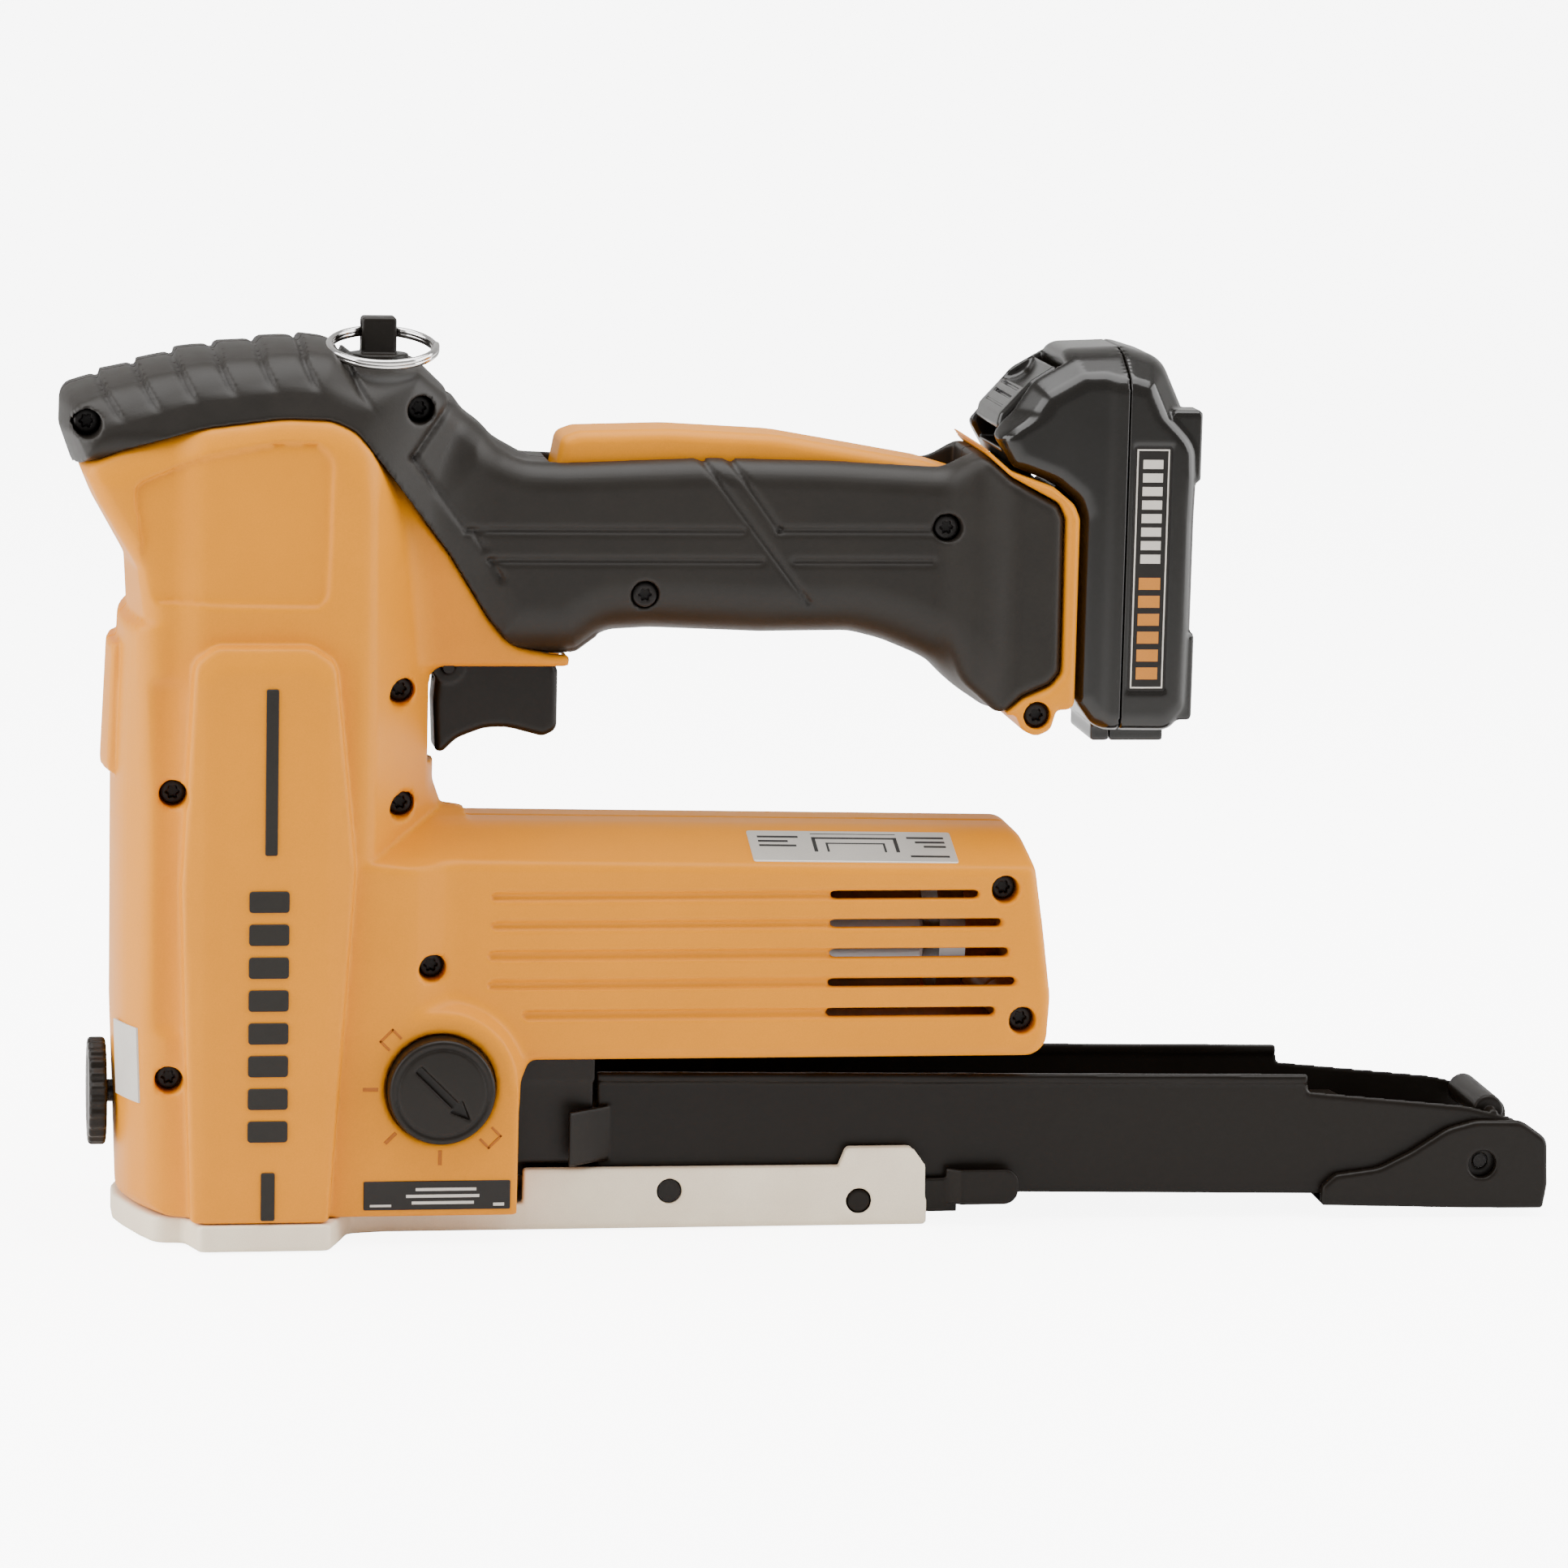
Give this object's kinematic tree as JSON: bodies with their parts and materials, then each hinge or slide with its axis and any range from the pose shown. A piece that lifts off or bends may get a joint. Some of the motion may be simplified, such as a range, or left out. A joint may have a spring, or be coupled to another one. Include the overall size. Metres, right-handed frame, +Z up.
{
  "type": "cordless carton stapler",
  "caption": "Cordless carton-closing stapler with a two-half shell, top handle, bottom staple magazine, cast foot and slide-on battery.",
  "frame": {"origin": "middle of the bounding box in X and Y, on the plane the sole rests on", "axes": "+X from the nose to the battery and magazine tail, +Z up, Y across the tool"},
  "size_m": [0.4042, 0.088, 0.2413],
  "materials": {
    "yellow_shell": "satin moulded, fine spark texture",
    "black_rubber": "matte overmould",
    "black_plastic": "satin",
    "battery_case": "gloss",
    "cast_alloy": "bead blasted",
    "black_steel": "black paint, light sheen",
    "bright_steel": "ground",
    "chrome_wire": "polished",
    "black_label": "satin",
    "silver_label": "brushed foil",
    "circuit": "satin",
    "cells": "wrapped"
  },
  "bodies": {
    "frame": {"housing_left": "yellow_shell", "housing_right": "yellow_shell", "grip_left": "black_rubber", "grip_right": "black_rubber", "battery_rim": "yellow_shell", "base_casting": "cast_alloy", "guide_pin_left": "black_steel", "guide_pin_right": "black_steel", "magazine_block": "black_plastic", "staple_rail": "black_steel", "trigger_pin": "bright_steel", "trigger_spring": "bright_steel", "trigger_switch": "black_plastic", "palm_pin": "bright_steel", "palm_spring": "bright_steel", "stripe_upper": "black_plastic", "stripe_lower": "black_plastic", "badge_bars": "black_plastic", "instruction_plate": "black_label", "staple_plate": "silver_label", "hanger_lug": "black_rubber", "motor_can": "bright_steel", "gearbox_case": "cast_alloy", "control_board": "circuit", "terminal_block": "black_plastic", "housing_screw_1": "black_steel", "housing_screw_2": "black_steel", "housing_screw_3": "black_steel", "housing_screw_4": "black_steel", "housing_screw_5": "black_steel", "housing_screw_6": "black_steel", "housing_screw_7": "black_steel", "grip_screw_1": "black_steel", "grip_screw_2": "black_steel", "grip_screw_3": "black_steel", "grip_screw_4": "black_steel", "rim_screw": "black_steel"},
    "trigger": {"trigger": "black_plastic"},
    "palm_lever": {"palm_lever": "yellow_shell"},
    "key_ring": {"split_ring": "chrome_wire"},
    "selector_bush": {"selector_bush": "bright_steel"},
    "selector_dial": {"selector_dial": "black_plastic"},
    "depth_dial": {"depth_dial": "black_plastic"},
    "magazine": {"magazine_channel": "black_steel", "tail_bracket": "black_steel", "drum_axle": "bright_steel"},
    "spring_drum": {"spring_drum": "bright_steel"},
    "pusher": {"staple_pusher": "bright_steel"},
    "magazine_latch": {"magazine_latch": "black_steel"},
    "battery": {"battery_front_shell": "battery_case", "battery_back_shell": "battery_case", "battery_cells": "cells"},
    "battery_latch": {"battery_latch": "battery_case"},
    "crank": {"crank_disc": "bright_steel"},
    "rotor": {"motor_rotor": "bright_steel"},
    "driver": {"driver_carriage": "bright_steel", "driver_blade": "bright_steel"},
    "clincher_left": {"clincher_left": "bright_steel"},
    "clincher_right": {"clincher_right": "bright_steel"}
  },
  "joints": [
    {"name": "trigger_pull", "type": "hinge", "parent": "frame", "child": "trigger", "pos_m": [-0.1, 0, 0.1495], "axis": [0, -1, 0], "range_deg": [0, 7], "stiffness_Nm_per_rad": 2, "springref_deg": -8.59},
    {"name": "palm_press", "type": "hinge", "parent": "frame", "child": "palm_lever", "pos_m": [0.0335, 0, 0.1986], "axis": [0, -1, 0], "range_deg": [0, 4.5], "stiffness_Nm_per_rad": 6, "springref_deg": -5.73, "deforming": ["palm_spring"]},
    {"name": "ring_swing", "type": "hinge", "parent": "frame", "child": "key_ring", "pos_m": [-0.1187, 0, 0.2376], "axis": [-1, 0, 0], "range_deg": [0, 150]},
    {"name": "selector_push", "type": "slide", "parent": "frame", "child": "selector_bush", "axis": [0, 1, 0], "range_m": [0, 0.0022], "stiffness_N_per_m": 1500, "springref_m": -0.001},
    {"name": "selector_turn", "type": "hinge", "parent": "selector_bush", "child": "selector_dial", "pos_m": [-0.1032, -0.036, 0.0419], "axis": [0, 1, 0], "range_deg": [0, 180]},
    {"name": "depth_dial_turn", "type": "hinge", "parent": "frame", "child": "depth_dial", "pos_m": [-0.1915, 0, 0.034], "axis": [1, 0, 0], "range_deg": [-180, 180]},
    {"name": "magazine_slide", "type": "slide", "parent": "frame", "child": "magazine", "axis": [1, 0, 0], "range_m": [0, 0.06]},
    {"name": "pusher_slide", "type": "slide", "parent": "frame", "child": "pusher", "axis": [1, 0, 0], "range_m": [0, 0.2], "stiffness_N_per_m": 25, "springref_m": -0.2},
    {"name": "spring_drum_turn", "type": "hinge", "parent": "magazine", "child": "spring_drum", "pos_m": [0.1835, 0, 0.0148], "axis": [0, 1, 0], "range_deg": [0, 1600]},
    {"name": "magazine_latch_lift", "type": "hinge", "parent": "frame", "child": "magazine_latch", "pos_m": [0.0111, 0, 0.0068], "axis": [0, -1, 0], "range_deg": [0, 6], "stiffness_Nm_per_rad": 1.5, "springref_deg": -5.73},
    {"name": "battery_slide", "type": "slide", "parent": "frame", "child": "battery", "axis": [0, 0, 1], "range_m": [0, 0.07]},
    {"name": "battery_latch_press", "type": "slide", "parent": "battery", "child": "battery_latch", "axis": [0.8, 0, -0.6], "range_m": [0, 0.0015], "stiffness_N_per_m": 1500, "springref_m": -0.001},
    {"name": "crank_turn", "type": "hinge", "parent": "frame", "child": "crank", "pos_m": [-0.1105, 0, 0.076], "axis": [1, 0, 0], "range_deg": [0, 180]},
    {"name": "rotor_turn", "type": "hinge", "parent": "frame", "child": "rotor", "pos_m": [-0.0505, 0, 0.076], "axis": [1, 0, 0], "range_deg": [0, 4320]},
    {"name": "driver_slide", "type": "slide", "parent": "frame", "child": "driver", "axis": [0, 0, -1], "range_m": [0, 0.028]},
    {"name": "clincher_left_swing", "type": "hinge", "parent": "frame", "child": "clincher_left", "pos_m": [-0.1505, -0.031, 0.026], "axis": [1, 0, 0], "range_deg": [0, 12]},
    {"name": "clincher_right_swing", "type": "hinge", "parent": "frame", "child": "clincher_right", "pos_m": [-0.1505, 0.031, 0.026], "axis": [-1, 0, 0], "range_deg": [0, 12]}
  ],
  "couplings": [
    {"joint": "spring_drum_turn", "follows": "pusher_slide", "rad_per_m": 138.89},
    {"joint": "rotor_turn", "follows": "crank_turn", "ratio": 24},
    {"joint": "driver_slide", "follows": "crank_turn", "m_per_rad": 0.008912},
    {"joint": "clincher_left_swing", "follows": "crank_turn", "ratio": 0.0666},
    {"joint": "clincher_right_swing", "follows": "crank_turn", "ratio": 0.0666}
  ]
}
